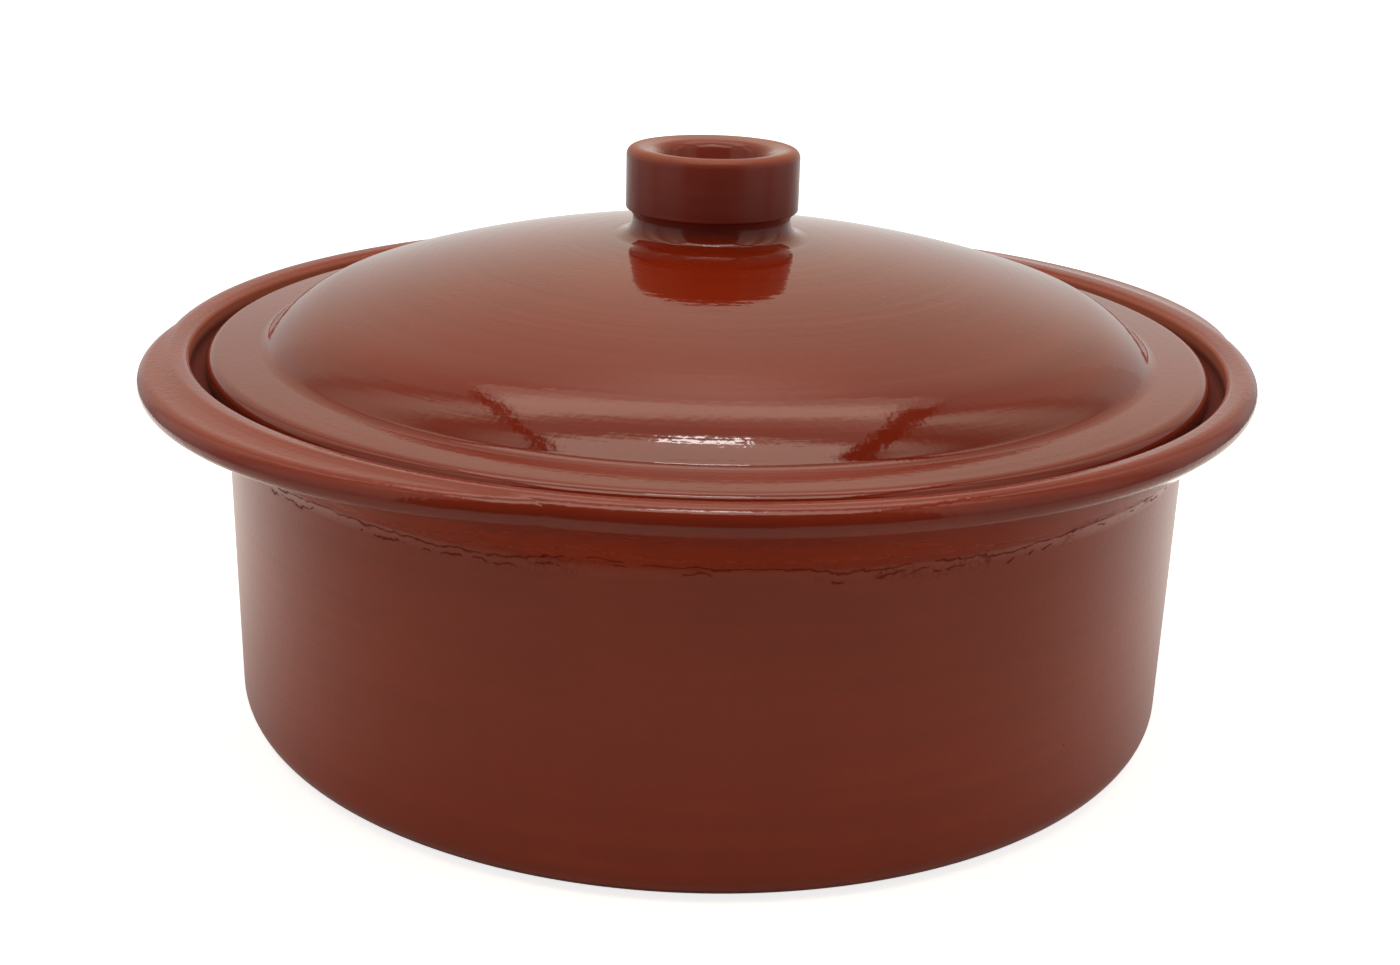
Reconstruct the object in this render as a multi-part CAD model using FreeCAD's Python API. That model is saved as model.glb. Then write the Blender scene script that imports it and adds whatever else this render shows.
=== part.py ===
import FreeCAD, Part
import math
import os

# Clay braising pot with a loose domed lid, in millimetres.
# +Z is up, the origin is the middle of the base, and the two lugs point along -X and +X.

# Pot: a flat base, a straight wall and a flare that carries the seat for the lid
inside_radius = 116.0
wall_thickness = 6.5
floor_thickness = 8.0
heel_bend = 7.4
inside_bend = 14.0
seat_height = 89.2
seat_width = 14.8
seat_corner_bend = 1.8
seat_edge_bend = 2.0
flare_drop = 12.2
flare_bend = 6.0

# Rolled rim: a round bead on the outer edge of the seat, whose top falls a little to a tight inner edge
bead_radius = 3.55
rim_inner_width = 3.95
rim_top_lean = 8.0
rim_inner_bend = 1.2
rim_rise = 7.1
flare_meets_bead = 60.0
bead_crease_bend = 1.2

# Lugs: a flat disc with a rounded edge, set off centre, of which only a crescent stands out of the rim.
# Its ends would run out on the rim at the spread angle, and are trimmed at the end angle.
lug_reach = 7.0
lug_spread = 38.0
lug_end = 34.0
lug_thickness = 6.4
lug_edge_bend = 3.0
lug_below_rim = 0.8

# Lid: a flange that lies on the seat, and a dome with a tight shoulder and a flat crown
lid_side_clearance = 3.8
lid_seat_clearance = 0.2
lid_wall = 6.0
flange_thickness = 5.8
flange_width = 14.3
flange_slope = 0.3
flange_top_bend = 1.8
flange_foot_bend = 1.2
dome_rise = 26.4
shoulder_radius = 36.5
shoulder_slope = 50.0
crease_bend = 4.0
dome_foot_bend = 1.5

# Knob: a foot and neck luted on to the crown, and a drum with a dished hollow in its top
drum_radius = 21.65
drum_height = 17.4
drum_ledge = 0.9
drum_chamfer = 1.4
drum_top_bend = 2.3
neck_inset = 1.95
neck_height = 5.1
foot_step = 3.2
foot_height = 0.6
foot_cove = 2.7
dish_margin = 7.55
dish_fall = 0.9
dish_edge_bend = 1.5
hollow_depth = 12.0
hollow_taper = 3.1
hollow_bend = 6.0

# Places that follow from the sizes above
wall_radius = inside_radius + wall_thickness
gallery_radius = inside_radius + seat_width
bead_centre_radius = gallery_radius + rim_inner_width
rim_radius = bead_centre_radius + bead_radius
rim_height = seat_height + rim_rise
bead_centre_height = rim_height - bead_radius
flare_height = seat_height - flare_drop

lid_radius = gallery_radius - lid_side_clearance
flange_bottom = seat_height + lid_seat_clearance
flange_edge_top = flange_bottom + flange_thickness
crease_radius = lid_radius - flange_width
crease_height = flange_edge_top + flange_slope
dome_height = crease_height + dome_rise

neck_radius = drum_radius - neck_inset
foot_radius = neck_radius + foot_step
dish_radius = drum_radius - dish_margin
hollow_foot_radius = dish_radius - hollow_taper


def point(radius, height):
    return FreeCAD.Vector(radius, 0, height)


def on_circle(centre, radius, degrees):
    """Point of a circle in the XZ plane, with the angle measured up from the outward direction."""
    angle = math.radians(degrees)
    return centre + point(radius * math.cos(angle), radius * math.sin(angle))


def line(start, end):
    return Part.LineSegment(start, end).toShape()


def arc(start, middle, end):
    return Part.Arc(start, middle, end).toShape()


def chain(*points):
    """Straight edges from each point to the next."""
    edges = []
    for start, end in zip(points, points[1:]):
        edges.append(line(start, end))
    return edges


def turned(edges):
    """Solid made by turning a closed outline round the Z axis, as clay is turned on a wheel."""
    face = Part.Face(Part.Wire(edges))
    return face.revolve(FreeCAD.Vector(0, 0, 0), FreeCAD.Vector(0, 0, 1), 360)


def soften(solid, bend, *rings):
    """Round the circular edges of a turned solid that pass through the given outline points."""
    chosen = []
    for edge in solid.Edges:
        if edge.Degenerated or not isinstance(edge.Curve, Part.Circle):
            continue
        for ring in rings:
            same_radius = abs(edge.Curve.Radius - ring.x) < 0.01
            same_height = abs(edge.Curve.Center.z - ring.z) < 0.01
            if same_radius and same_height:
                chosen.append(edge)
    return solid.makeFillet(bend, chosen)


def on_bead(degrees):
    """Point of the bead's section, with the angle measured up from its outermost point."""
    return on_circle(point(bead_centre_radius, bead_centre_height), bead_radius, degrees)


def pot_outside():
    """Edges of the pot's outside from the middle of the base to the top of the bead."""
    bead_foot = on_bead(-flare_meets_bead)
    edges = chain(point(0, 0), point(wall_radius, 0), point(wall_radius, flare_height), bead_foot)
    edges.append(arc(bead_foot, on_bead(0), on_bead(90)))
    return edges


def soften_outside(solid):
    """Round the heel, the bend below the flare and the crease under the bead."""
    solid = soften(solid, heel_bend, point(wall_radius, 0))
    solid = soften(solid, flare_bend, point(wall_radius, flare_height))
    return soften(solid, bead_crease_bend, on_bead(-flare_meets_bead))


def pot_body():
    """Base, wall, flare, seat and rolled rim, thrown in one piece."""
    seat_corner = point(gallery_radius, seat_height)
    seat_edge = point(inside_radius, seat_height)
    floor_corner = point(inside_radius, floor_thickness)
    floor_middle = point(0, floor_thickness)
    top_end = on_bead(90 + rim_top_lean)
    fall = (top_end.x - gallery_radius) * math.tan(math.radians(rim_top_lean))
    rim_edge = point(gallery_radius, top_end.z - fall)
    edges = pot_outside()
    edges.append(arc(on_bead(90), on_bead(90 + rim_top_lean / 2), top_end))
    edges += chain(top_end, rim_edge, seat_corner, seat_edge, floor_corner, floor_middle, point(0, 0))
    solid = soften_outside(turned(edges))
    solid = soften(solid, rim_inner_bend, rim_edge)
    solid = soften(solid, seat_corner_bend, seat_corner)
    solid = soften(solid, seat_edge_bend, seat_edge)
    return soften(solid, inside_bend, floor_corner)


def pot_filled():
    """The pot's outside as a filled solid, to cut the lugs to the rim."""
    edges = pot_outside() + chain(on_bead(90), point(0, rim_height), point(0, 0))
    return soften_outside(turned(edges))


def lug(turn):
    """Crescent lug on the rim: towards +X for a turn of 0 degrees and -X for 180."""
    tip = rim_radius + lug_reach
    spread = math.radians(lug_spread)
    offset = (tip**2 - rim_radius**2) / (2 * (tip - rim_radius * math.cos(spread)))
    disc = Part.makeCylinder(tip - offset, lug_thickness)
    disc = disc.makeFillet(lug_edge_bend, [e for e in disc.Edges if isinstance(e.Curve, Part.Circle)])
    disc.translate(FreeCAD.Vector(offset, 0, rim_height - lug_below_rim - lug_thickness))
    ends = rim_radius * math.cos(math.radians(lug_end))
    kept = Part.makeBox(tip, 2 * tip, rim_height, FreeCAD.Vector(ends, -tip, 0))
    crescent = disc.common(kept).cut(pot_filled()).Solids[0]
    crescent.rotate(FreeCAD.Vector(0, 0, 0), FreeCAD.Vector(0, 0, 1), turn)
    return crescent


def dome_centres():
    """Centres of the crown's arc and the shoulder's arc, and the crown's radius."""
    crease = point(crease_radius, crease_height)
    shoulder = on_circle(crease, -shoulder_radius, 90 - shoulder_slope)
    depth = dome_height - shoulder.z
    crown_radius = (shoulder.x**2 + depth**2 - shoulder_radius**2) / (2 * (depth - shoulder_radius))
    return point(0, dome_height - crown_radius), shoulder, crown_radius


def crown_point(distance, radius):
    """Point of a crown arc at this distance from the axis."""
    crown = dome_centres()[0]
    return point(distance, crown.z + math.sqrt(radius**2 - distance**2))


def dome_arcs(inset, foot, top):
    """Shoulder arc from the foot and crown arc to the top, both set in from the dome's outside."""
    crown, shoulder, crown_radius = dome_centres()
    lean = math.degrees(math.atan2(shoulder.z - crown.z, shoulder.x))
    bend = shoulder_radius - inset
    joint = on_circle(shoulder, bend, lean)
    foot_angle = math.degrees(math.atan2(foot.z - shoulder.z, foot.x - shoulder.x))
    on_shoulder = on_circle(shoulder, bend, (foot_angle + lean) / 2)
    on_crown = crown_point((joint.x + top.x) / 2, crown_radius - inset)
    return [arc(foot, on_shoulder, joint), arc(joint, on_crown, top)]


def knob_seat_height():
    """Height of the small flat on the crown that the knob is luted to."""
    return crown_point(foot_radius, dome_centres()[2]).z


def lid():
    """Flange and hollow dome, thrown in one piece, with a small flat on the crown for the knob."""
    shoulder, crown_radius = dome_centres()[1:]
    inner_bend = shoulder_radius - lid_wall
    inner_reach = math.sqrt(inner_bend**2 - (flange_bottom - shoulder.z)**2)
    inner_foot = point(shoulder.x + inner_reach, flange_bottom)
    inner_top = crown_point(0, crown_radius - lid_wall)
    flange_foot = point(lid_radius, flange_bottom)
    flange_edge = point(lid_radius, flange_edge_top)
    crease = point(crease_radius, crease_height)
    seat_rim = point(foot_radius, knob_seat_height())
    edges = dome_arcs(0, crease, seat_rim)
    edges += chain(seat_rim, point(0, knob_seat_height()), inner_top)
    edges += dome_arcs(lid_wall, inner_foot, inner_top)
    edges += chain(inner_foot, flange_foot, flange_edge, crease)
    solid = turned(Part.__sortEdges__(edges))
    solid = soften(solid, crease_bend, crease)
    solid = soften(solid, flange_top_bend, flange_edge)
    solid = soften(solid, flange_foot_bend, flange_foot)
    return soften(solid, dome_foot_bend, inner_foot)


def lid_knob():
    """Foot, neck and drum with its dished hollow, turned as one piece."""
    base = knob_seat_height()
    foot_top = base + foot_height
    neck_top = base + neck_height
    drum_top = neck_top + drum_height
    drum_foot = neck_top + drum_chamfer
    hollow_floor = drum_top - hollow_depth
    neck_foot = point(neck_radius, foot_top)
    drum_edge = point(drum_radius, drum_top)
    dish_edge = point(dish_radius, drum_top - dish_fall)
    hollow_corner = point(hollow_foot_radius, hollow_floor)
    outside = chain(
        point(0, base),
        point(foot_radius, base),
        point(foot_radius, foot_top),
        neck_foot,
        point(neck_radius, neck_top),
        point(drum_radius - drum_ledge, neck_top),
        point(drum_radius, drum_foot),
        drum_edge,
    )
    inside = chain(drum_edge, dish_edge, hollow_corner, point(0, hollow_floor), point(0, base))
    solid = turned(outside + inside)
    solid = soften(solid, foot_cove, neck_foot)
    solid = soften(solid, drum_top_bend, drum_edge)
    solid = soften(solid, dish_edge_bend, dish_edge)
    return soften(solid, hollow_bend, hollow_corner)


def main():
    os.makedirs("parts", exist_ok=True)
    pieces = {
        "pot_body": pot_body(),
        "left_lug": lug(180),
        "right_lug": lug(0),
        "lid": lid(),
        "lid_knob": lid_knob(),
    }
    for name, shape in pieces.items():
        shape.exportStep("parts/" + name + ".step")
        box = shape.BoundBox
        sizes = [round(v, 2) for v in (box.XLength, box.YLength, box.ZMin, box.ZMax)]
        print(name, shape.isValid(), len(shape.Solids), round(shape.Volume), sizes)


main()
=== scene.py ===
import math

import bmesh
import bpy
from bpy.props import FloatProperty, FloatVectorProperty, IntProperty, PointerProperty
from mathutils import Matrix, Vector


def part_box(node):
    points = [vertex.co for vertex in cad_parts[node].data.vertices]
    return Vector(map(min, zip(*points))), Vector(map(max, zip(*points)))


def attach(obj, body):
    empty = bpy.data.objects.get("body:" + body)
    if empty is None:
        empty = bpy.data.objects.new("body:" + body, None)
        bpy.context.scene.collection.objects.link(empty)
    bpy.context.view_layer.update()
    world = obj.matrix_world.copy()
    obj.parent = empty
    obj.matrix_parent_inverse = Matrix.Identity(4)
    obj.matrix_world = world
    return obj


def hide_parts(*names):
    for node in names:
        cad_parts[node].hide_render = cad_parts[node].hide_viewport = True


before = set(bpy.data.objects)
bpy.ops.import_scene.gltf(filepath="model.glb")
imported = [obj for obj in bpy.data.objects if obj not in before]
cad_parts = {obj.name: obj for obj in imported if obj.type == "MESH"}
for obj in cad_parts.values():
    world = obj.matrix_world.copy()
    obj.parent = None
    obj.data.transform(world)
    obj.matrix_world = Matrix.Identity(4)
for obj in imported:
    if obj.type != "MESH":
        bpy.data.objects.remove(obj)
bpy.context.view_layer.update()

bl_info = {
    "name": "Clay braising pot",
    "version": (1, 0, 0),
    "blender": (4, 5, 0),
    "location": "3D View > Sidebar > Braising Pot",
    "description": "Glazed clay braising pot with a loose domed lid, in a light tent",
    "category": "Object",
}

MM = 0.001
HAIR = 1e-6
POT_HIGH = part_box("pot_body")[1]
LUG_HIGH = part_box("right_lug")[1]
LID_LOW, LID_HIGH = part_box("lid")
KNOB_LOW, KNOB_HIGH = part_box("lid_knob")
TURNING_STEPS = 240
LUG_STEPS = 96
EDGE_ANGLE = math.radians(38)


def length(name, default, description):
    """A size in metres."""
    return FloatProperty(
        name=name, default=default, description=description, subtype="DISTANCE", unit="LENGTH"
    )


def angle(name, degrees, description):
    """An angle, written in degrees and kept in radians."""
    radians = math.radians(degrees)
    return FloatProperty(
        name=name, default=radians, description=description, subtype="ANGLE", unit="ROTATION"
    )


def plain_number(name, default, description):
    """A number with no unit."""
    return FloatProperty(name=name, default=default, description=description, precision=3)


def colour(name, default, description):
    """A colour as Blender mixes it, in linear light."""
    return FloatVectorProperty(
        name=name, default=default, description=description,
        subtype="COLOR", size=3, min=0.0, max=1.0,
    )


class PotSizes(bpy.types.PropertyGroup):
    """Sizes of the pot's body: the frame's, with a softer bend inside the rim."""

    rim_radius: length("Rim radius", POT_HIGH.x, "Outermost radius of the rolled rim")
    rim_height: length("Rim height", POT_HIGH.z, "Height of the top of the rolled rim")
    bead_radius: length("Bead radius", 3.55 * MM, "Radius of the round roll on the rim's edge")
    bead_foot: angle("Bead foot", 60.0, "Angle below level at which the flare runs into the roll")
    rim_inner_width: length("Rim inner width", 3.95 * MM, "Roll's middle to the rim's inner edge")
    rim_top_lean: angle("Rim top lean", 8.0, "Slope of the rim's top towards the lid")
    rim_inner_bend: length("Rim inner bend", 2.1 * MM, "Rounding of the rim's inner edge")
    wall_radius: length("Wall radius", 122.5 * MM, "Outer radius of the upright wall")
    wall_thickness: length("Wall thickness", 6.5 * MM, "Thickness of the upright wall")
    floor_thickness: length("Floor thickness", 8.0 * MM, "Thickness of the pot's floor")
    heel_bend: length("Heel bend", 7.4 * MM, "Rounding between the base and the wall outside")
    inside_bend: length("Inside bend", 14.0 * MM, "Rounding between the floor and the wall inside")
    seat_drop: length("Seat drop", 7.1 * MM, "How far the lid's seat lies below the top of the rim")
    seat_corner_bend: length("Seat corner bend", 1.8 * MM, "Rounding between the seat and the rim")
    seat_edge_bend: length("Seat edge bend", 2.0 * MM, "Rounding of the seat's inner edge")
    flare_drop: length("Flare drop", 12.2 * MM, "How far below the seat the wall flares out")
    flare_bend: length("Flare bend", 6.0 * MM, "Rounding where the wall starts to flare out")


class LugSizes(bpy.types.PropertyGroup):
    """Sizes of the two crescent lugs."""

    reach: length("Reach", LUG_HIGH.x - POT_HIGH.x, "How far a lug stands out at its middle")
    spread: angle("Spread", 38.0, "Angle from a lug's middle to where it runs out on the rim")
    roll_radius: length("Roll radius", 3.2 * MM, "Radius of the lug's round outer edge")
    roll_drop: length("Roll drop", 0.4 * MM, "How far the lug's edge lies below the rim's roll")
    web_bend: length("Web bend", 5.0 * MM, "Radius of the hollow under the lug")
    top_bend: length("Top bend", 22.0 * MM, "Radius of the shallow hollow on top of the lug")
    end_sink: length("End sink", 0.25 * MM, "How far a lug's end lies inside the rim's roll")
    end_share: plain_number("End share", 0.995, "Share of the spread at which the lug's clay ends")


class LidSizes(bpy.types.PropertyGroup):
    """Sizes of the lid: the frame's, with a softer bend on the flange's upper edge."""

    radius: length("Lid radius", LID_HIGH.x, "Outer radius of the flange")
    bottom: length("Underside", 89.4 * MM, "Height of the flange's underside on its seat")
    edge_thickness: length("Flange edge", 5.8 * MM, "Thickness of the flange at its edge")
    flange_width: length("Flange width", 14.3 * MM, "Width of the flange outside the dome")
    flange_slope: length("Flange rise", 0.3 * MM, "How much the flange rises towards the dome")
    top_bend: length("Upper edge bend", 3.0 * MM, "Rounding of the flange's upper edge")
    foot_bend: length("Lower edge bend", 1.2 * MM, "Rounding of the flange's lower edge")
    crease_bend: length("Crease bend", 4.0 * MM, "Rounding of the crease between flange and dome")
    wall: length("Dome wall", 6.0 * MM, "Thickness of the dome")
    dome_rise: length("Dome rise", 26.4 * MM, "How high the dome stands above the flange")
    shoulder_radius: length("Shoulder radius", 36.5 * MM, "Radius of the dome's tight shoulder")
    shoulder_slope: angle("Shoulder slope", 50.0, "Slope of the dome where it meets the flange")
    crease_reach: angle("Crease reach", 3.5, "How far up the shoulder the crease's bend reaches")
    inner_foot_bend: length("Inner foot bend", 1.5 * MM, "Rounding between hollow and underside")


class KnobSizes(bpy.types.PropertyGroup):
    """Sizes of the knob: near the frame's, with a fuller drum and a foot that runs out softly."""

    drum_radius: length("Drum radius", 22.0 * MM, "Outer radius of the knob's drum")
    drum_foot: length("Drum foot", 6.8 * MM, "Height of the drum's lower edge above the foot")
    drum_ledge: length("Drum ledge", 1.0 * MM, "How far the neck is set in under the drum")
    ledge_fall: length("Ledge fall", 0.5 * MM, "How far the ledge falls towards the neck")
    edge_bend: length("Edge bend", 0.5 * MM, "Rounding of the ledge and of the drum's lower edge")
    drum_top_bend: length("Drum lip bend", 2.3 * MM, "Rounding of the drum's outer lip")
    neck_radius: length("Neck radius", 20.1 * MM, "Radius of the neck at its narrowest")
    run_out_bend: length("Run-out bend", 9.0 * MM, "Radius at which the foot rises from the dome")
    foot_bend: length("Foot bend", 2.6 * MM, "Radius of the bend between run-out and cove")
    cove_radius: length("Cove radius", 6.0 * MM, "Radius of the hollow below the neck")
    dome_slope: angle("Dome slope", 4.6, "Slope of the dome where the foot runs out on it")
    run_out_slope: angle("Run-out slope", 25.0, "Slope where the run-out ends")
    cove_slope: angle("Cove slope", 55.0, "Slope where the cove starts")
    foot_drop: length("Foot drop", 0.19 * MM, "How far the foot's edge lies below the frame's")
    lip_rise: length("Lip rise", 0.4 * MM, "How far the unrounded corner is above the lip")
    dish_radius: length("Dish radius", 14.1 * MM, "Radius of the hollow's mouth")
    dish_fall: length("Dish fall", 1.3 * MM, "How much the drum's top falls towards the hollow")
    dish_bend: length("Dish bend", 3.4 * MM, "Rounding of the hollow's mouth")
    hollow_radius: length("Hollow radius", 11.0 * MM, "Radius of the hollow at its floor")
    hollow_depth: length("Hollow depth", 12.0 * MM, "Depth of the hollow below the drum's top")
    hollow_bend: length("Hollow bend", 6.0 * MM, "Rounding of the hollow's floor")


class ClayFinish(bpy.types.PropertyGroup):
    """Colours and finish of the clay and its glaze. Some colours hold painted light: a reflection
    on the rim's inner side, and shade on the seat and on the flange's underside.
    """

    glazed_clay: colour("Glazed clay", (0.192, 0.0165, 0.004), "Red clay under clear glaze")
    rim_clay: colour("Rim clay", (0.235, 0.026, 0.011), "Red clay of the rim under thinner glaze")
    satin_clay: colour("Satin clay", (0.295, 0.029, 0.005), "Red clay of the wall below the rim")
    knob_clay: colour("Knob clay", (0.225, 0.040, 0.028), "Clay of the knob, whose glaze is thin")
    # Thin glaze on the knob's lip and edges; on the lip its lightness is partly a painted
    # highlight.
    thin_glaze_and_lip_highlight: colour("Thin glaze and lip highlight", (0.31, 0.075, 0.030), "Lighter clay of thin glaze on edges, partly a painted highlight on the lip")
    # Bare clay, kept dark as painted shade in the gap between lid and rim.
    bare_clay_and_gap_shade: colour("Bare clay", (0.13, 0.034, 0.016), "Bare clay of the flange's underside, dark as painted shade")
    # Painted reflection: a paler, pinker colour for the light that the rim's inner side reflects.
    inner_side_painted_reflection: colour("Inner rim painted reflection", (0.44, 0.13, 0.08), "Painted reflection on the rim's inner side")
    # Painted shade: the seat is darkened for the shade in the gap under the lid.
    seat_painted_shade: colour("Seat painted shade", (0.115, 0.009, 0.003), "Lid's seat, painted dark as shade in the gap")
    speck: colour("Speck", (0.10, 0.005, 0.002), "Small dark specks in the glaze")
    crack: colour("Crack", (0.13, 0.013, 0.007), "Matt clay in the cracks at the glaze line")
    glaze_gloss: plain_number("Glaze roughness", 0.06, "Roughness of the clear glaze")
    knob_gloss: plain_number("Knob roughness", 0.2, "Roughness of the knob's thin glaze")
    satin_gloss: plain_number("Satin roughness", 0.3, "Roughness of the wall below the glaze line")
    lid_index: plain_number("Lid glaze index", 1.5, "Index of refraction of the lid's glaze")
    knob_index: plain_number("Knob glaze index", 1.38, "Index of refraction of the knob's glaze")
    pot_index: plain_number("Pot glaze index", 1.46, "Index of refraction of the pot's glaze")
    glaze_line: length("Glaze line", 77.8 * MM, "Height at which the glaze ends on the wall")
    slow_wander: length("Slow wander", 12.0 * MM, "How far the glaze line wanders in long waves")
    quick_wander: length("Quick wander", 3.5 * MM, "How far the glaze line wanders in short waves")
    crack_width: length("Crack width", 1.2 * MM, "Width of the line of cracks at the glaze line")
    second_crack_drop: length("Second crack drop", 2.2 * MM, "From that line down to a second one")
    second_crack_width: length("Second crack width", 1.0 * MM, "Width of the second line")
    crackle_width: length("Crackle width", 12.0 * MM, "Width of the band with patches of crackle")
    crackle_cell: length("Crackle cell", 1.8 * MM, "Size of the cells between the crackle's seams")
    ring_spacing: length("Ring spacing", 2.4 * MM, "Spacing of the rings that the wheel leaves")
    ring_depth: length("Ring depth", 0.055 * MM, "Depth of the rings that the wheel leaves")
    fine_ring_spacing: length("Fine ring spacing", 0.6 * MM, "Spacing of the fine rings")
    fine_ring_depth: length("Fine ring depth", 0.011 * MM, "Depth of the fine rings")
    skin_grain: length("Skin grain", 0.8 * MM, "Size of the dimples in the glaze's uneven skin")
    skin_depth: length("Skin depth", 0.026 * MM, "Depth of the glaze's uneven skin")
    mottle_size: length("Mottle size", 5.0 * MM, "Size of the patches in the knob's thin glaze")
    speck_radius: length("Speck radius", 0.5 * MM, "Radius of the small dark specks")
    lid_speck_patch: length("Lid speck patch", 17.0 * MM, "Patch of the lid that holds one speck")
    pot_speck_patch: length("Pot speck patch", 15.0 * MM, "Patch of the pot that holds one speck")


class StudioSizes(bpy.types.PropertyGroup):
    """The photographer's light tent and camera. The tent's own front faces the camera."""

    turn: angle("Turn", -40.0, "Turn of camera and tent round the pot, seen from above")
    camera_distance: length("Camera distance", 456.4 * MM, "Level distance from the pot's axis")
    camera_height: length("Camera height", 213.1 * MM, "Height above the surface the pot stands on")
    camera_pitch: angle("Camera pitch", 19.282, "How far the camera looks down")
    camera_yaw: angle("Camera yaw", -0.1423, "How far the camera looks to the right")
    camera_roll: angle("Camera roll", 1.577, "Tilt of the camera about its line of sight")
    camera_focal_pixels: plain_number("Focal length", 1800.0, "Focal length in picture pixels")
    picture_width: IntProperty(name="Picture width", default=1400, description="Width in pixels")
    tent_half_width: length("Tent half width", 0.40, "From the tent's middle to its side walls")
    tent_height: length("Tent height", 0.80, "Height of the tent's ceiling")
    tent_back: length("Tent back", 0.36, "From the pot's axis to the tent's back wall")
    tent_front: length("Tent front", 0.46, "From the pot's axis to the tent's open front")
    tent_sink: length("Tent sink", 0.8 * MM, "How far the tent's walls reach below the floor")
    rear_strip_start: length("Rear strip start", 0.05, "From the axis back to its near side")
    rear_strip_end: length("Rear strip end", 0.235, "From the axis back to its far side")
    front_strip_start: length("Front strip start", 0.18, "From the axis forward to its near side")
    front_strip_end: length("Front strip end", 0.43, "From the axis forward to its far side")
    strips_left: length("Strips to the left", 0.02, "How far both strips hang to the left")
    lamp_length: length("Lamp length", 0.182, "Length of the small lamp in the front strip")
    lamp_width: length("Lamp width", 0.027, "Width of the small lamp")
    lamp_left: length("Lamp to the left", 0.006, "How far the lamp hangs to the left")
    lamp_forward: length("Lamp forward", 0.2, "How far the lamp hangs before the axis")
    lamp_drop: length("Lamp drop", 0.01, "How far the lamp hangs below the ceiling")
    floor_reach: length("Floor reach", 30.0, "How far the floor reaches from the axis")
    ceiling_cloth: colour("Ceiling cloth", (1.0, 0.83, 0.67), "Colour of the ceiling's light")
    wall_cloth: colour("Wall cloth", (1.0, 0.92, 0.71), "Colour of the walls' light")
    low_cloth: colour("Low cloth", (1.0, 0.98, 0.93), "Colour of the light from low on the walls")
    floor_paper: colour("Floor paper", (0.78, 0.78, 0.77), "Colour of the floor")
    ceiling_level: plain_number("Ceiling brightness", 0.75, "Brightness between the light strips")
    rear_level: plain_number("Rear strip brightness", 1.35, "Brightness added by the rear strip")
    front_level: plain_number("Front strip brightness", 2.35, "Brightness added by the front strip")
    back_level: plain_number("Back wall brightness", 0.64, "Brightness of the back wall's sides")
    side_level: plain_number("Side wall brightness", 0.62, "Brightness of the side walls")
    room_level: plain_number("Room brightness", 0.05, "Brightness before the open front")
    lamp_level: plain_number("Lamp brightness", 16.0, "Brightness of the small lamp")
    background_glow: plain_number("Background glow", 0.8, "Light added to the floor as background")


class BraisingPot(bpy.types.PropertyGroup):
    """Everything that the operators read."""

    pot: PointerProperty(type=PotSizes)
    lug: PointerProperty(type=LugSizes)
    lid: PointerProperty(type=LidSizes)
    knob: PointerProperty(type=KnobSizes)
    finish: PointerProperty(type=ClayFinish)
    studio: PointerProperty(type=StudioSizes)


def towards(turn):
    """Unit step (radius, height) at this angle above level."""
    return Vector((math.cos(turn), math.sin(turn)))


class Outline:
    """Half section of a turned piece in the XZ plane, drawn point by point, then spun round Z."""

    def __init__(self, radius, height):
        self.mesh = bmesh.new()
        self.end = self.mesh.verts.new((radius, 0.0, height))

    def line(self, radius, height):
        corner = self.mesh.verts.new((radius, 0.0, height))
        self.mesh.edges.new((self.end, corner))
        self.end = corner
        return corner

    def arc(self, centre, turn, steps):
        """Carries the end round a centre (radius, height). A positive turn goes from X to Z."""
        middle = (centre[0], 0.0, centre[1])
        made = bmesh.ops.spin(
            self.mesh, geom=[self.end], cent=middle, axis=(0.0, -1.0, 0.0), angle=turn, steps=steps
        )
        self.end = made["geom_last"][0]

    def soften(self, corner, bend, segments):
        """Rounds a corner between two lines to an arc of this radius, in this many steps."""
        one, two = (edge.other_vert(corner).co - corner.co for edge in corner.link_edges)
        offset = bend / math.tan(one.angle(two) / 2)
        bmesh.ops.bevel(
            self.mesh, geom=[corner], offset=offset, offset_type="OFFSET", affect="VERTICES",
            segments=segments, profile=0.5, material=-1,
        )

    def spun(self):
        """The closed piece that the outline makes when it is turned on the wheel."""
        mesh = self.mesh
        bmesh.ops.spin(
            mesh, geom=mesh.verts[:] + mesh.edges[:], cent=(0.0, 0.0, 0.0), axis=(0.0, 0.0, 1.0),
            angle=math.tau, steps=TURNING_STEPS, use_merge=True,
        )
        bmesh.ops.remove_doubles(mesh, verts=mesh.verts, dist=HAIR)
        bmesh.ops.recalc_face_normals(mesh, faces=mesh.faces)
        return mesh


def mesh_data(mesh, name):
    """Turns a finished bmesh into data for an object."""
    data = bpy.data.meshes.new(name)
    mesh.to_mesh(data)
    mesh.free()
    return data


def piece_from(mesh, name, body, node, material):
    """Makes an object of a finished mesh. It replaces a node of the frame and rides on its body."""
    for face in mesh.faces:
        face.smooth = True
    for edge in mesh.edges:
        edge.smooth = len(edge.link_faces) == 2 and edge.calc_face_angle() < EDGE_ANGLE
    data = mesh_data(mesh, name)
    data.materials.append(material)
    piece = bpy.data.objects.new(name, data)
    bpy.context.scene.collection.objects.link(piece)
    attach(piece, body)
    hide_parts(node)


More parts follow.
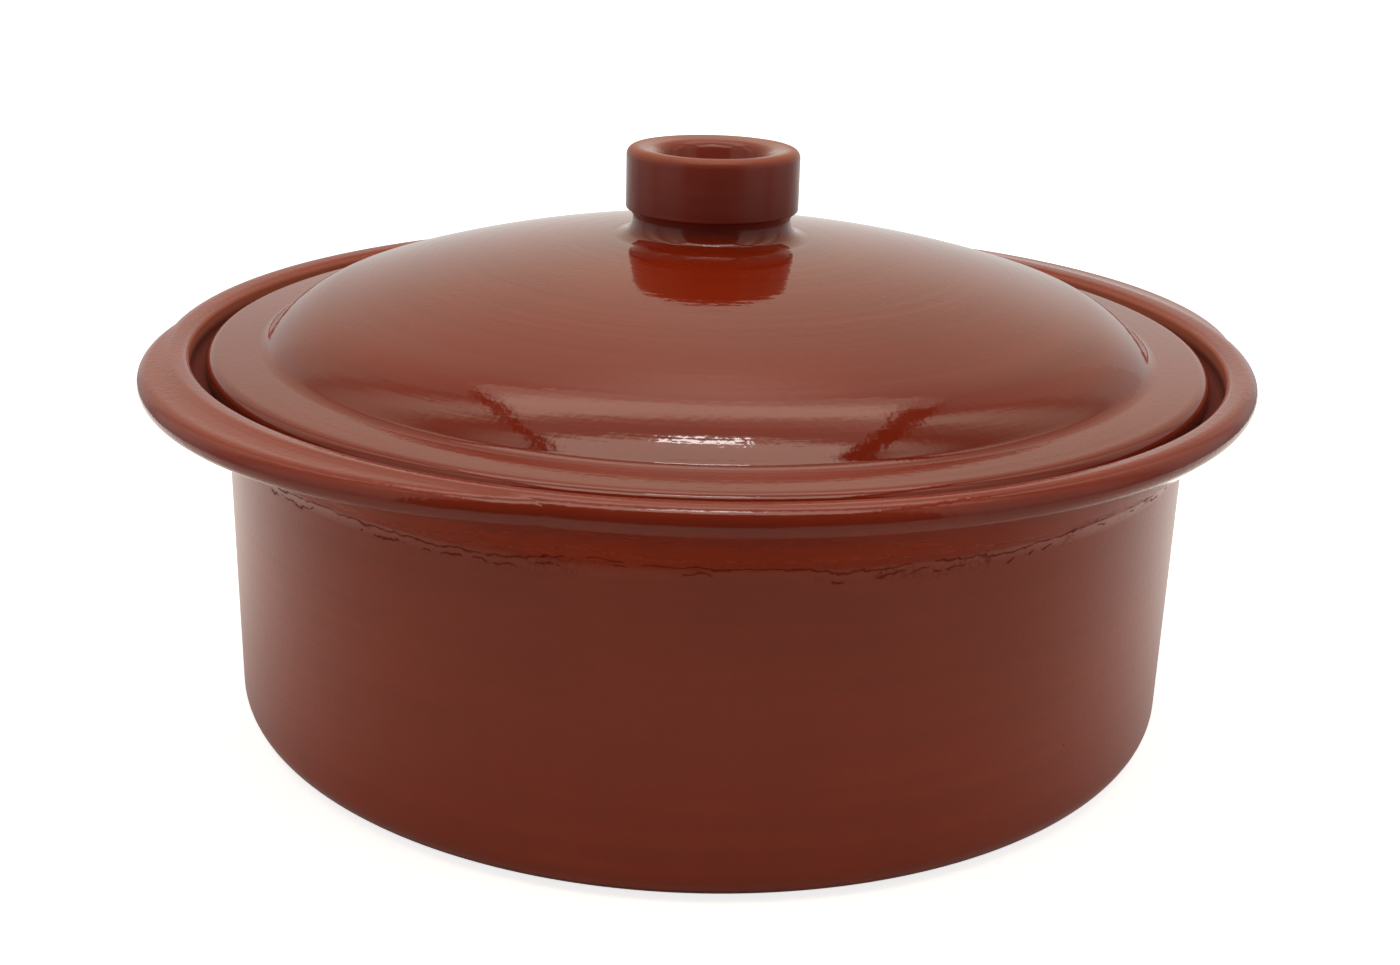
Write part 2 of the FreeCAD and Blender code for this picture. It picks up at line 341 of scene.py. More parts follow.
class Signal:
    """A number in a material, so that shader maths reads as an expression."""

    def __init__(self, recipe, socket):
        self.recipe = recipe
        self.socket = socket

    def maths(self, operation, *values):
        return self.recipe.node("ShaderNodeMath", {"operation": operation}, values)

    def __add__(self, other):
        return self.maths("ADD", self, other)

    def __radd__(self, other):
        return self.maths("ADD", other, self)

    def __sub__(self, other):
        return self.maths("SUBTRACT", self, other)

    def __rsub__(self, other):
        return self.maths("SUBTRACT", other, self)

    def __mul__(self, other):
        return self.maths("MULTIPLY", self, other)

    def __rmul__(self, other):
        return self.maths("MULTIPLY", other, self)

    def __truediv__(self, other):
        return self.maths("DIVIDE", self, other)

    def __pow__(self, other):
        return self.maths("POWER", self, other)

    def __abs__(self):
        return self.maths("ABSOLUTE", self)

    def larger(self, other):
        """The larger of the two."""
        return self.maths("MAXIMUM", self, other)

    def above(self, edge, width):
        """0 well below the edge and 1 well above it, with a smooth step of this width between."""
        settings = {"data_type": "FLOAT", "interpolation_type": "SMOOTHSTEP"}
        sockets = {"Value": self, "From Min": edge - width / 2, "From Max": edge + width / 2}
        return self.recipe.node("ShaderNodeMapRange", settings, sockets)

    def near(self, middle, width):
        """1 at the middle, falling to 0 at half the width on either side."""
        return 1.0 - abs(self - middle).above(width / 4, width / 2)


class Recipe:
    """A material and the nodes that it is mixed from."""

    def __init__(self, name):
        self.material = bpy.data.materials.new(name)
        self.material.use_nodes = True
        self.tree = self.material.node_tree
        self.shader = next(n for n in self.tree.nodes if n.type == "BSDF_PRINCIPLED")
        self.place = self.node("ShaderNodeTexCoord", {}, {}, output="Object")

    def node(self, kind, settings, values, output=0):
        """Adds a node, fills its sockets with values or links, and gives one of its outputs."""
        made = self.tree.nodes.new(kind)
        for key, value in settings.items():
            setattr(made, key, value)
        pairs = values.items() if isinstance(values, dict) else enumerate(values)
        for key, value in pairs:
            self.fill(made.inputs[key], value)
        return Signal(self, made.outputs[output])

    def fill(self, socket, value):
        """Links a signal to a socket, or writes a plain value on it."""
        if isinstance(value, Signal):
            self.tree.links.new(value.socket, socket)
        else:
            socket.default_value = value

    def axes(self):
        """The three coordinates of a point on the piece."""
        return [self.node("ShaderNodeSeparateXYZ", {}, [self.place], output=axis) for axis in "XYZ"]

    def radius(self):
        """Distance of a point from the axis."""
        x, y, _ = self.axes()
        return (x * x + y * y) ** 0.5

    def noise(self, size, detail=2.0):
        """Uneven patches of about this size, from 0 to 1."""
        sockets = {"Vector": self.place, "Scale": 0.5 / size, "Detail": detail}
        return self.node("ShaderNodeTexNoise", {}, sockets)

    def rings(self, spacing, wander=0.6):
        """Uneven rings of this spacing round the axis, which change slowly on their way round."""
        x, y, z = self.axes()
        radius = self.radius() + HAIR
        place = [x / radius * wander, y / radius * wander, z / spacing]
        along = self.node("ShaderNodeCombineXYZ", {}, place)
        sockets = {"Vector": along, "W": radius / spacing, "Scale": 1.0, "Detail": 1.0}
        return self.node("ShaderNodeTexNoise", {"noise_dimensions": "4D"}, sockets)

    def cells(self, size, feature):
        """Distance from the middle of the nearest cell (F1), or from the nearest seam."""
        sockets = {"Vector": self.place, "Scale": 1.0 / size}
        return self.node("ShaderNodeTexVoronoi", {"feature": feature}, sockets, output="Distance")

    def mixed(self, share, one, two):
        """Colour one where the share is 0 and colour two where it is 1."""
        sockets = {0: share, 6: one, 7: two}
        return self.node("ShaderNodeMix", {"data_type": "RGBA"}, sockets, output=2)

    def bump(self, height):
        """Normal of a surface that stands up by this height, in metres."""
        sockets = {"Height": height, "Distance": 1.0, "Strength": 1.0}
        return self.node("ShaderNodeBump", {}, sockets, output="Normal")

    @property
    def coat(self):
        """What the material's own shader gives, to be put together with another one."""
        return Signal(self, self.shader.outputs[0])

    def cover(self, surface):
        """Makes this the material's surface."""
        end = next(node for node in self.tree.nodes if node.type == "OUTPUT_MATERIAL")
        self.fill(end.inputs["Surface"], surface)

    def set(self, **sockets):
        """Fills sockets of the material's own shader."""
        for key, value in sockets.items():
            self.fill(self.shader.inputs[key.replace("_", " ")], value)

    def another_coat(self, values):
        """A second shader, to be put together with the material's own."""
        return self.node("ShaderNodeBsdfPrincipled", {}, values)

    def cover_in_part(self, share, other):
        """Lets another coat take the place of the material's own, as far as the share says."""
        self.cover(self.node("ShaderNodeMixShader", {}, [share, self.coat, other]))


def shade(rgb, light=1.0):
    """A colour for a socket, made lighter or darker."""
    return (rgb[0] * light, rgb[1] * light, rgb[2] * light, 1.0)


def uneven_skin(recipe, finish, depth=1.0):
    """Normal of turned clay under glaze: rings from the wheel, fine rings and an uneven skin."""
    rings = recipe.rings(finish.ring_spacing) * finish.ring_depth
    fine_rings = recipe.rings(finish.fine_ring_spacing, wander=3.0) * finish.fine_ring_depth
    skin = recipe.noise(finish.skin_grain, detail=1.0) * finish.skin_depth
    return recipe.bump((rings + fine_rings + skin) * depth)


def clouded(recipe, rgb, spread=0.08):
    """A clay colour that varies a little from place to place and from ring to ring."""
    patches, streaks = recipe.noise(22.0 * MM, detail=3.0), recipe.rings(4.0 * MM)
    cloud = patches * 0.6 + streaks * 0.4
    return recipe.mixed(cloud.above(0.5, 0.35), shade(rgb, 1.0 - spread), shade(rgb, 1.0 + spread))


def specks(recipe, patch, radius):
    """Round specks of this radius, no more than one to each patch, and none in most patches."""
    share = radius / patch
    near_middle = 1.0 - recipe.cells(patch, "F1").above(share, 0.4 * share)
    return near_middle * recipe.noise(1.3 * patch).above(0.55, 0.03)


def lid_glaze(finish):
    """Clear glaze over red clay, with a few specks, and bare where the flange lies on its seat; the
    bare clay is dark as painted shade in the gap.
    """
    recipe = Recipe("clear_lid_glaze")
    height = recipe.axes()[2]
    bare = 1.0 - height.above(LID_LOW.z + 3.0 * MM, 2.0 * MM)
    dots = specks(recipe, finish.lid_speck_patch, finish.speck_radius)
    clay = clouded(recipe, finish.glazed_clay)
    # Bare clay under the flange, dark as painted shade in the gap.
    clay = recipe.mixed(bare, clay, clouded(recipe, finish.bare_clay_and_gap_shade))
    clay = recipe.mixed(dots * 0.8, clay, shade(finish.speck))
    gloss = finish.glaze_gloss + bare * 0.5
    skin = uneven_skin(recipe, finish)
    recipe.set(Base_Color=clay, Roughness=gloss, IOR=finish.lid_index, Normal=skin)
    return recipe.material


def knob_glaze(finish, knob):
    """Thin mottled glaze, lighter on edges (on the lip partly a painted highlight), glossier in the
    hollow, and the lid's on the foot.
    """
    recipe = Recipe("mottled_knob_glaze")
    height, radius = recipe.axes()[2], recipe.radius()
    drum, drum_foot = knob.drum_radius, KNOB_LOW.z + knob.drum_foot
    lip = height.above(KNOB_HIGH.z - 1.4 * MM, 2.4 * MM) * radius.above(drum - 3.0 * MM, 2.6 * MM)
    edge = height.near(drum_foot + 0.3 * MM, 1.6 * MM) * radius.above(drum - 0.9 * MM, 0.6 * MM)
    hollow = 1.0 - radius.above(knob.dish_radius + 1.0 * MM, 3.0 * MM)
    foot = 1.0 - height.above(KNOB_LOW.z + 3.5 * MM, 3.0 * MM)

    mottle = recipe.noise(finish.mottle_size, detail=3.0)
    thin = (lip + edge * 0.5) * (0.2 + mottle * 0.5)
    clay = clouded(recipe, finish.knob_clay, spread=0.14)
    # Lighter where the glaze is thin; on the lip partly a painted highlight.
    clay = recipe.mixed(thin, clay, shade(finish.thin_glaze_and_lip_highlight))
    gloss = finish.knob_gloss + (mottle - 0.5) * 0.3 + lip * 0.2
    gloss = gloss + (finish.glaze_gloss - finish.knob_gloss) * hollow * 0.7
    skin = uneven_skin(recipe, finish)
    recipe.set(Base_Color=clay, Roughness=gloss, IOR=finish.knob_index, Normal=skin)

    values = {
        "Base Color": clouded(recipe, finish.glazed_clay), "Roughness": finish.glaze_gloss,
        "IOR": finish.lid_index, "Normal": skin,
    }
    recipe.cover_in_part(foot, recipe.another_coat(values))
    return recipe.material


def glaze_cracks(recipe, finish, wavy):
    """Two broken lines of cracks, and patches of crackle, at the glaze line on a wavy height."""
    line = finish.glaze_line
    first = wavy.near(line, finish.crack_width)
    first = first * recipe.noise(3.4 * MM).above(0.34, 0.06)
    second = wavy.near(line - finish.second_crack_drop, finish.second_crack_width)
    second = second * recipe.noise(2.6 * MM).above(0.55, 0.05)
    patch = wavy.near(line, finish.crackle_width) * recipe.noise(7.0 * MM).above(0.55, 0.06)
    seams = 1.0 - recipe.cells(finish.crackle_cell, "DISTANCE_TO_EDGE").above(0.07, 0.08)
    return first.larger(second).larger(seams * patch * 0.6)


def pot_clay(finish):
    """Glazed rim over a satin wall, with matt, broken, wandering cracks where the glaze ends; a
    painted reflection on the rim's inner side and painted shade on the seat.
    """
    recipe = Recipe("red_pot_clay")
    height, radius = recipe.axes()[2], recipe.radius()
    top, reach = POT_HIGH.z, POT_HIGH.x
    long_waves = (recipe.noise(24.0 * MM) - 0.5) * finish.slow_wander
    short_waves = (recipe.noise(1.6 * MM, detail=3.0) - 0.5) * finish.quick_wander
    wavy = height - (long_waves + short_waves)

    outside = radius.above(reach - 18.0 * MM, 2.0 * MM)
    wall = outside * (1.0 - wavy.above(finish.glaze_line + 4.8 * MM, 4.5 * MM))
    below_rim = outside * (1.0 - height.above(top - 9.5 * MM, 3.0 * MM))
    rim = outside * height.above(top - 8.0 * MM, 3.0 * MM)
    inner_side = 1.0 - radius.above(reach - 7.0 * MM, 0.8 * MM)
    inner_side = inner_side * height.above(top - 9.0 * MM, 1.0 * MM)
    seat = inner_side * (1.0 - height.above(top - 4.4 * MM, 2.4 * MM))
    dots = specks(recipe, finish.pot_speck_patch, finish.speck_radius) * outside

    clay = clouded(recipe, finish.rim_clay)
    clay = recipe.mixed(below_rim, clay, clouded(recipe, finish.satin_clay))
    # Painted reflection on the rim's inner side.
    clay = recipe.mixed(inner_side * 0.85, clay, shade(finish.inner_side_painted_reflection))
    # Painted shade on the seat, in the gap under the lid.
    clay = recipe.mixed(seat, clay, clouded(recipe, finish.seat_painted_shade))
    clay = recipe.mixed(dots * 0.9, clay, shade(finish.speck))
    gloss = finish.glaze_gloss + (finish.satin_gloss - finish.glaze_gloss) * wall
    gloss = gloss + inner_side * 0.45 + seat * 0.3 + dots * 0.25 + rim * 0.05
    skin = uneven_skin(recipe, finish, 1.2 + rim * 1.2)
    recipe.set(Base_Color=clay, Roughness=gloss, IOR=finish.pot_index, Normal=skin)

    cracks = glaze_cracks(recipe, finish, wavy) * outside
    values = {"Base Color": shade(finish.crack), "Roughness": 1.0, "Specular IOR Level": 0.0}
    recipe.cover_in_part(cracks * 0.85, recipe.another_coat(values))
    return recipe.material


def lit_cloth(name, studio, level):
    """Cloth that light comes through, as bright as the level says, and warmer towards its top."""
    recipe = Recipe(name)
    brightest = 4.0
    height = recipe.axes()[2]
    wall, ceiling = (
        shade(cloth, 3.0 / sum(cloth)) for cloth in (studio.wall_cloth, studio.ceiling_cloth)
    )
    near_ceiling, above_floor = height.above(0.66, 0.2), height.above(0.22, 0.3)
    cloth = recipe.mixed(near_ceiling, wall, ceiling)
    cloth = recipe.mixed(above_floor, shade(studio.low_cloth), cloth)
    sockets = {"Vector": cloth, "Scale": level(recipe, studio) / brightest}
    light = recipe.node("ShaderNodeVectorMath", {"operation": "SCALE"}, sockets)
    recipe.set(Base_Color=(0.0, 0.0, 0.0, 1.0), Roughness=1.0, Specular_IOR_Level=0.0)
    recipe.set(Emission_Color=light, Emission_Strength=brightest)
    return recipe.material


class BraisingPotOperator:
    """What the operators share."""

    bl_options = {"REGISTER", "UNDO"}

    @property
    def sizes(self):
        return bpy.context.scene.braising_pot


class BRAISINGPOT_OT_pot_body(BraisingPotOperator, bpy.types.Operator):
    """Turn the pot's body: base, wall, flare, seat and rolled rim"""

    bl_idname = "braisingpot.pot_body"
    bl_label = "Pot Body"

    def execute(self, context):
        pot = self.sizes.pot
        bead = Vector((pot.rim_radius - pot.bead_radius, pot.rim_height - pot.bead_radius))
        seat = pot.rim_height - pot.seat_drop
        inside = pot.wall_radius - pot.wall_thickness
        gallery = bead.x - pot.rim_inner_width
        outline = Outline(0.0, 0.0)
        heel = outline.line(pot.wall_radius, 0.0)
        flare = outline.line(pot.wall_radius, seat - pot.flare_drop)
        outline.line(*(bead + pot.bead_radius * towards(-pot.bead_foot)))
        outline.arc(bead, math.pi / 2 + pot.rim_top_lean + pot.bead_foot, 36)
        fall = (outline.end.co.x - gallery) * math.tan(pot.rim_top_lean)
        rim_edge = outline.line(gallery, outline.end.co.z - fall)
        seat_corner = outline.line(gallery, seat)
        seat_edge = outline.line(inside, seat)
        floor_corner = outline.line(inside, pot.floor_thickness)
        outline.line(0.0, pot.floor_thickness)
        outline.soften(heel, pot.heel_bend, 14)
        outline.soften(flare, pot.flare_bend, 8)
        outline.soften(rim_edge, pot.rim_inner_bend, 8)
        outline.soften(seat_corner, pot.seat_corner_bend, 6)
        outline.soften(seat_edge, pot.seat_edge_bend, 6)
        outline.soften(floor_corner, pot.inside_bend, 14)
        clay = pot_clay(self.sizes.finish)
        piece_from(outline.spun(), "turned_pot", "pot", "pot_body", clay)
        return {"FINISHED"}


def lug_section(pot, lug, reach):
    """Points (radius, height) of a lug's section: up over its round edge, between two hollows."""
    lean = reach / lug.reach
    bead = Vector((pot.rim_radius - pot.bead_radius, pot.rim_height - pot.bead_radius))
    sunk = lug.end_sink * (1.0 - lean) ** 2
    roll = Vector((pot.rim_radius + reach - sunk - lug.roll_radius, bead.y - lug.roll_drop * lean))
    apart = roll - bead
    level = math.atan2(apart.y, apart.x)
    meetings = []
    for web in (lug.web_bend, lug.top_bend):
        bead_side = pot.bead_radius + web
        roll_side = lug.roll_radius + web
        gap = max(apart.length, bead_side - roll_side + 0.1 * HAIR)
        bead_share = (bead_side**2 + gap**2 - roll_side**2) / (2 * bead_side * gap)
        roll_share = (roll_side**2 + gap**2 - bead_side**2) / (2 * roll_side * gap)
        at_bead = math.acos(min(1.0, bead_share))
        at_roll = math.pi - math.acos(max(-1.0, roll_share))
        meetings.append((web, bead_side, at_bead, at_roll))
    hollow_steps, roll_steps = 10, 28
    points = []
    for side, (web, bead_side, at_bead, at_roll) in zip((-1, 1), meetings):
        centre = bead + bead_side * towards(level + side * at_bead)
        hollow = []
        for step in range(hollow_steps):
            share = step / hollow_steps
            turn = level + side * (at_bead + share * (at_roll - at_bead)) + math.pi
            hollow.append(centre + web * towards(turn))
        points += hollow if side < 0 else hollow[::-1]
        if side < 0:
            below, above = meetings[0][3], meetings[1][3]
            for step in range(roll_steps + 1):
                turn = level - below + (below + above) * step / roll_steps
                points.append(roll + lug.roll_radius * towards(turn))
    return points


class BRAISINGPOT_OT_lugs(BraisingPotOperator, bpy.types.Operator):
    """Shape the two crescent lugs that are pressed on to the rim"""

    bl_idname = "braisingpot.lugs"
    bl_label = "Lugs"

    def crescent_reach(self, turn):
        """How far the crescent, whose edge is a circle set off centre, stands out at this angle."""
        rim, lug = self.sizes.pot.rim_radius, self.sizes.lug
        tip = rim + lug.reach
        offset = (tip**2 - rim**2) / (2 * (tip - rim * math.cos(lug.spread)))
        across = offset * math.sin(turn)
        return offset * math.cos(turn) + math.sqrt((tip - offset) ** 2 - across**2) - rim

    def crescent(self, middle):
        """Spins a lug's section along the rim, and draws each station in to the crescent's edge."""
        pot, lug = self.sizes.pot, self.sizes.lug
        mesh = bmesh.new()
        along = mesh.verts.layers.int.new("along")
        ring = [mesh.verts.new((p.x, 0.0, p.y)) for p in lug_section(pot, lug, lug.reach)]
        for number, vert in enumerate(ring):
            vert[along] = number
            mesh.edges.new((ring[number - 1], vert))
        spread = lug.spread * lug.end_share
        start = Matrix.Rotation(-spread, 4, "Z")
        bmesh.ops.transform(mesh, matrix=start, verts=mesh.verts)
        bmesh.ops.spin(
            mesh, geom=mesh.verts[:] + mesh.edges[:], cent=(0.0, 0.0, 0.0), axis=(0.0, 0.0, 1.0),
            angle=2 * spread, steps=LUG_STEPS,
        )
        sections = {}
        for vert in mesh.verts:
            turn = math.atan2(vert.co.y, vert.co.x)
            key = round(turn, 4)
            if key not in sections:
                sections[key] = lug_section(pot, lug, max(0.0, self.crescent_reach(turn)))
            point = sections[key][vert[along]]
            vert.co = (point.x * math.cos(turn), point.x * math.sin(turn), point.y)
        ends = [edge for edge in mesh.edges if len(edge.link_faces) == 1]
        bmesh.ops.contextual_create(mesh, geom=ends)
        bmesh.ops.recalc_face_normals(mesh, faces=mesh.faces)
        bmesh.ops.transform(mesh, matrix=Matrix.Rotation(middle, 4, "Z"), verts=mesh.verts)
        return mesh

    def execute(self, context):
        clay = bpy.data.objects["turned_pot"].active_material
        for node, middle in (("right_lug", 0.0), ("left_lug", math.pi)):
            piece_from(self.crescent(middle), "rolled_" + node, "pot", node, clay)
        return {"FINISHED"}


def foot_bends(knob):
    """Radius, first slope and last slope of each bend from the dome up to the knob's neck."""
    return (
        (knob.run_out_bend, knob.dome_slope, knob.run_out_slope),
        (knob.foot_bend, knob.run_out_slope, knob.cove_slope),
        (knob.cove_radius, knob.cove_slope, math.pi / 2),
    )


def foot_reach(knob):
    """Radius at which the knob's foot runs out on the dome."""
    steps = (bend * (math.sin(end) - math.sin(start)) for bend, start, end in foot_bends(knob))
    return knob.neck_radius + sum(steps)


class BRAISINGPOT_OT_lid(BraisingPotOperator, bpy.types.Operator):
    """Turn the lid: a flange that lies on the seat, and a hollow dome"""

    bl_idname = "braisingpot.lid"
    bl_label = "Lid"

    def execute(self, context):
        lid, knob = self.sizes.lid, self.sizes.knob
        edge_top = lid.bottom + lid.edge_thickness
        crease = Vector((lid.radius - lid.flange_width, edge_top + lid.flange_slope))
        rise = lid.flange_slope / lid.flange_width
        foot_angle = math.pi / 2 - lid.shoulder_slope
        bend = lid.shoulder_radius
        shoulder = crease - bend * towards(foot_angle)
        depth = crease.y + lid.dome_rise - shoulder.y
        crown_radius = (shoulder.x**2 + depth**2 - bend**2) / (2 * (depth - bend))
        crown = Vector((0.0, crease.y + lid.dome_rise - crown_radius))
        lean = math.atan2(shoulder.y - crown.y, shoulder.x)
        inner_bend = bend - lid.wall
        inner_foot = math.asin((lid.bottom - shoulder.y) / inner_bend)
        knob_seat = math.acos(foot_reach(knob) / crown_radius)

        outline = Outline(0.0, crown.y + crown_radius - lid.wall)
        outline.arc(crown, lean - math.pi / 2, 24)
        outline.arc(shoulder, inner_foot - lean, 14)
        hollow_foot = outline.end
        flange_foot = outline.line(lid.radius, lid.bottom)
        flange_top = outline.line(lid.radius, edge_top)
        start = foot_angle + lid.crease_reach
        on_shoulder = shoulder + bend * towards(start)
        fall = towards(start - math.pi / 2)
        gap = edge_top + (lid.radius - on_shoulder.x) * rise - on_shoulder.y
        meeting = on_shoulder + fall * gap / (fall.y + rise * fall.x)
        crease_corner = outline.line(*meeting)
        outline.line(*on_shoulder)
        outline.arc(shoulder, lean - start, 24)
        outline.arc(crown, knob_seat - lean, 48)
        seat_height = outline.end.co.z
        outline.line(0.0, seat_height)
        outline.soften(hollow_foot, lid.inner_foot_bend, 5)
        outline.soften(flange_foot, lid.foot_bend, 6)
        outline.soften(flange_top, lid.top_bend, 8)
        outline.soften(crease_corner, lid.crease_bend, 10)
        glaze = lid_glaze(self.sizes.finish)
        piece_from(outline.spun(), "domed_lid", "lid", "lid", glaze)
        return {"FINISHED"}


class BRAISINGPOT_OT_knob(BraisingPotOperator, bpy.types.Operator):
    """Turn the knob: foot, neck and drum, with a dished hollow in its top"""

    bl_idname = "braisingpot.knob"
    bl_label = "Lid Knob"

    def execute(self, context):
        knob = self.sizes.knob
        base, drum_top = KNOB_LOW.z, KNOB_HIGH.z + knob.lip_rise
        drum_foot = base + knob.drum_foot
        outline = Outline(0.0, base - knob.foot_drop)
        outline.line(foot_reach(knob), base - knob.foot_drop)
        for bend, start, end in foot_bends(knob):
            foot = Vector((outline.end.co.x, outline.end.co.z))
            outline.arc(foot + bend * towards(math.pi / 2 - start), start - end, 9)
        ledge = outline.line(knob.drum_radius - knob.drum_ledge, drum_foot - knob.ledge_fall)
        edge = outline.line(knob.drum_radius, drum_foot)
        lip = outline.line(knob.drum_radius, drum_top)
        mouth = outline.line(knob.dish_radius, drum_top - knob.dish_fall)
        hollow = outline.line(knob.hollow_radius, drum_top - knob.hollow_depth)
        outline.line(0.0, drum_top - knob.hollow_depth)
        outline.soften(ledge, knob.edge_bend, 3)
        outline.soften(edge, knob.edge_bend, 4)
        outline.soften(lip, knob.drum_top_bend, 12)
        outline.soften(mouth, knob.dish_bend, 12)
        outline.soften(hollow, knob.hollow_bend, 12)
        glaze = knob_glaze(self.sizes.finish, knob)
        piece_from(outline.spun(), "turned_knob", "lid", "lid_knob", glaze)
        return {"FINISHED"}


class BRAISINGPOT_OT_stage(BraisingPotOperator, bpy.types.Operator):
    """Set up the pale floor, the light tent with its two light strips, and the camera"""

    bl_idname = "braisingpot.stage"
    bl_label = "Stage"

    def add(self, data, name, matrix):
        """Puts a new object in its place in the scene."""
        made = bpy.data.objects.new(name, data)
        made.matrix_world = matrix
        bpy.context.scene.collection.objects.link(made)
        return made

    def floor(self, studio, turn):
        """A pale floor that glows as the white background, in reflections only behind the pot."""
        mesh = bmesh.new()
        bmesh.ops.create_grid(mesh, x_segments=1, y_segments=1, size=studio.floor_reach)
        data = mesh_data(mesh, "floor")
        recipe = Recipe("pale_floor")
        camera, glossy, passing = (
            recipe.node("ShaderNodeLightPath", {}, {}, output=kind)
            for kind in ("Is Camera Ray", "Is Glossy Ray", "Is Transmission Ray")
        )
        behind = recipe.axes()[1].above(0.0, 0.3)
        seen = camera + (glossy + passing) * behind
        recipe.set(Base_Color=shade(studio.floor_paper), Roughness=1.0, Specular_IOR_Level=0.0)
        glow = recipe.node("ShaderNodeEmission", {}, {"Strength": seen * studio.background_glow})
        recipe.cover(recipe.node("ShaderNodeAddShader", {}, [recipe.coat, glow]))
        data.materials.append(recipe.material)
        self.add(data, "floor", turn)

    def ceiling_light(self, recipe, studio):
        """Brightness of the ceiling, with a soft light strip over its back and over its front."""
        x, y, _ = recipe.axes()
        aside = abs(x + studio.strips_left)
        rear = (y - x * 0.1).above(studio.rear_strip_start, 0.08)
        rear = rear * (1.0 - y.above(studio.rear_strip_end, 0.14))
        front = y.above(-studio.front_strip_end, 0.12)
        front = front * (1.0 - y.above(-studio.front_strip_start, 0.07))
        ends = 1.0 - aside.above(studio.tent_half_width - 0.055, 0.05)
        plain = studio.ceiling_level + y.above(-0.02, 0.12) * 0.5
        lit = plain + (rear * studio.rear_level + front * studio.front_level) * ends
        seam = aside.above(studio.tent_half_width - 0.035, 0.03)
        seam = seam * (1.0 - y.above(0.22, 0.1) * 0.7)
        return lit * (1.0 - seam * 0.92)

    def back_light(self, recipe, studio):
        """Brightness of the back wall: more in its middle, at its top and low on its right."""
        x, _, z = recipe.axes()
        top = z.above(studio.tent_height - 0.16, 0.1) * x.near(0.0, 0.6) * 0.38
        low = z.near(0.15, 0.36) * (0.05 + x.near(0.25, 0.3) * 0.12)
        lit = studio.back_level + x.near(0.0, 0.5) * 0.2 + top + low
        return lit * (1.0 - z.near(0.0, 0.16) * 0.4)

    def side_light(self, recipe, studio):
        """Brightness of the side walls, with a pool of light below each end of the strips."""
        x, y, z = recipe.axes()
        right = x.above(0.0, 0.1)
        along = y - right * 0.03
        rear_pool = along.near(0.04, 0.2) * z.above(0.45, 0.6)
        front_pool = along.near(-0.21, 0.2) * z.above(0.55, 0.4) * (0.7 + right * 0.5)
        shade_bands = y.near(0.15, 0.12) * 0.2 + y.near(-0.08, 0.14) * 0.25
        lit = studio.side_level + rear_pool * 1.15 + front_pool * 0.9
        lit = (lit - shade_bands - right * 0.05) * (1.0 - z.near(0.0, 0.3) * 0.35)
        seam = z.above(studio.tent_height - 0.05, 0.06) * (1.0 - y.above(0.26, 0.1))
        return lit * (1.0 - seam * 0.85)

    def room_light(self, recipe, studio):
        """Brightness of the dark room before the tent's open front, which is the same all over."""
        return studio.room_level

    def tent(self, studio, turn):
        """A box of lit cloth that reaches just below the floor, with a dark room at its front."""
        mesh = bmesh.new()
        bmesh.ops.create_cube(mesh, size=1.0)
        wide = 2 * studio.tent_half_width
        deep = studio.tent_front + studio.tent_back
        high = studio.tent_height + 2 * studio.tent_sink
        middle = Vector((0.0, (studio.tent_back - studio.tent_front) / 2, studio.tent_height / 2))
        scale = Matrix.Diagonal((wide, deep, high, 1.0))
        bmesh.ops.transform(mesh, matrix=Matrix.Translation(middle) @ scale, verts=mesh.verts)
        bottom = [face for face in mesh.faces if face.normal.z < -0.5]
        bmesh.ops.delete(mesh, geom=bottom, context="FACES")
        for face in mesh.faces:
            if abs(face.normal.x) > 0.5:
                face.material_index = 1
            elif abs(face.normal.y) > 0.5:
                face.material_index = 2 if face.normal.y > 0.0 else 3
        data = mesh_data(mesh, "light_tent")
        data.materials.append(lit_cloth("tent_ceiling", studio, self.ceiling_light))
        data.materials.append(lit_cloth("tent_sides", studio, self.side_light))
        data.materials.append(lit_cloth("tent_back", studio, self.back_light))
        data.materials.append(lit_cloth("dark_room", studio, self.room_light))
        tent = self.add(data, "light_tent", turn)
        tent.visible_camera = False

    def lamp(self, studio, turn):
        """The small lamp in the front strip, whose reflections are the bright streaks."""
        lamp = bpy.data.lights.new("strip_lamp", "AREA")
        lamp.shape = "RECTANGLE"
        lamp.size = studio.lamp_length
        lamp.size_y = studio.lamp_width
        lamp.energy = studio.lamp_level * math.pi * lamp.size * lamp.size_y
        place = (-studio.lamp_left, -studio.lamp_forward, studio.tent_height - studio.lamp_drop)
        self.add(lamp, "strip_lamp", turn @ Matrix.Translation(place)).visible_camera = False

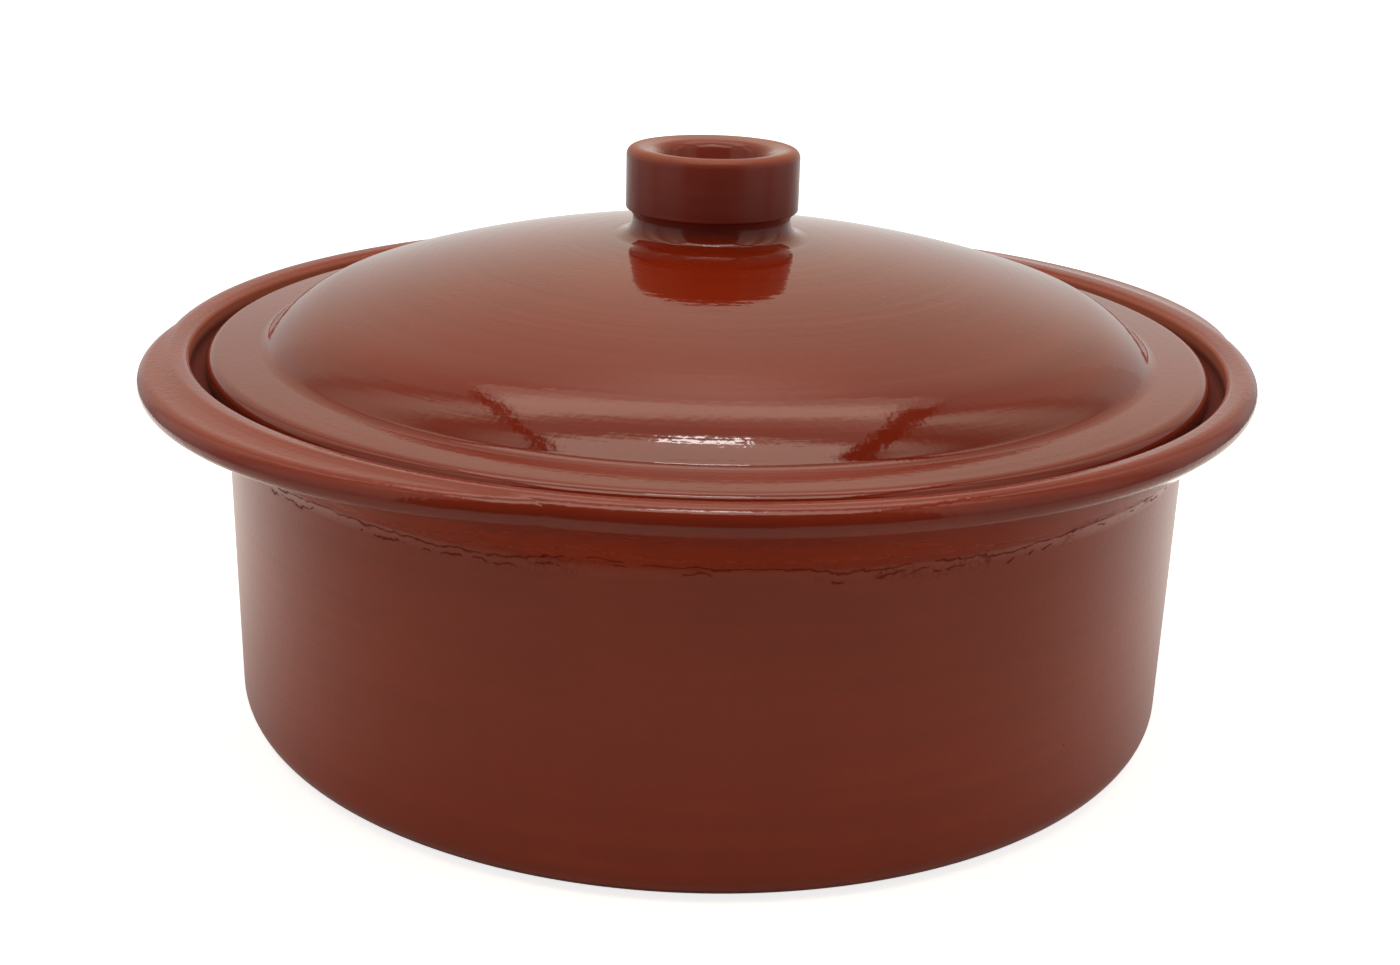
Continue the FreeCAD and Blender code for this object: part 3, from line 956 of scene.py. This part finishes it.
    def camera(self, studio, turn):
        """The camera at the photograph's place, which looks down on the pot."""
        data = bpy.data.cameras.new("camera")
        data.sensor_width = 36.0
        data.lens = studio.camera_focal_pixels * data.sensor_width / studio.picture_width
        place = Matrix.Translation((0.0, -studio.camera_distance, studio.camera_height))
        yaw = Matrix.Rotation(-studio.camera_yaw, 4, "Z")
        pitch = Matrix.Rotation(math.pi / 2 - studio.camera_pitch, 4, "X")
        roll = Matrix.Rotation(studio.camera_roll, 4, "Z")
        bpy.context.scene.camera = self.add(data, "camera", turn @ place @ yaw @ pitch @ roll)

    def execute(self, context):
        studio = self.sizes.studio
        turn = Matrix.Rotation(studio.turn, 4, "Z")
        self.floor(studio, turn)
        self.tent(studio, turn)
        self.lamp(studio, turn)
        self.camera(studio, turn)
        world = bpy.data.worlds.new("white_room")
        world.use_nodes = True
        world.node_tree.nodes["Background"].inputs["Color"].default_value = (1.0, 1.0, 1.0, 1.0)
        world.node_tree.nodes["Background"].inputs["Strength"].default_value = 1.0
        context.scene.world = world
        context.scene.view_settings.view_transform = "Standard"
        return {"FINISHED"}


OPERATORS = (
    BRAISINGPOT_OT_pot_body,
    BRAISINGPOT_OT_lugs,
    BRAISINGPOT_OT_lid,
    BRAISINGPOT_OT_knob,
    BRAISINGPOT_OT_stage,
)


class BRAISINGPOT_PT_sidebar(bpy.types.Panel):
    """Lists the pot's pieces and their sizes"""

    bl_label = "Braising Pot"
    bl_idname = "BRAISINGPOT_PT_sidebar"
    bl_space_type = "VIEW_3D"
    bl_region_type = "UI"
    bl_category = "Braising Pot"

    def draw(self, context):
        for operator in OPERATORS:
            self.layout.operator(operator.bl_idname)
        sizes = context.scene.braising_pot
        for group in (sizes.pot, sizes.lug, sizes.lid, sizes.knob, sizes.finish, sizes.studio):
            box = self.layout.box()
            for key in group.bl_rna.properties.keys():
                if key not in ("rna_type", "name"):
                    box.prop(group, key)


CLASSES = (
    PotSizes, LugSizes, LidSizes, KnobSizes, ClayFinish, StudioSizes, BraisingPot,
    *OPERATORS, BRAISINGPOT_PT_sidebar,
)


def register():
    for item in CLASSES:
        bpy.utils.register_class(item)
    bpy.types.Scene.braising_pot = PointerProperty(type=BraisingPot)


def unregister():
    del bpy.types.Scene.braising_pot
    for item in reversed(CLASSES):
        bpy.utils.unregister_class(item)


def main():
    register()
    for operator in OPERATORS:
        group, name = operator.bl_idname.split(".")
        getattr(getattr(bpy.ops, group), name)()


if __name__ == "__main__":
    main()
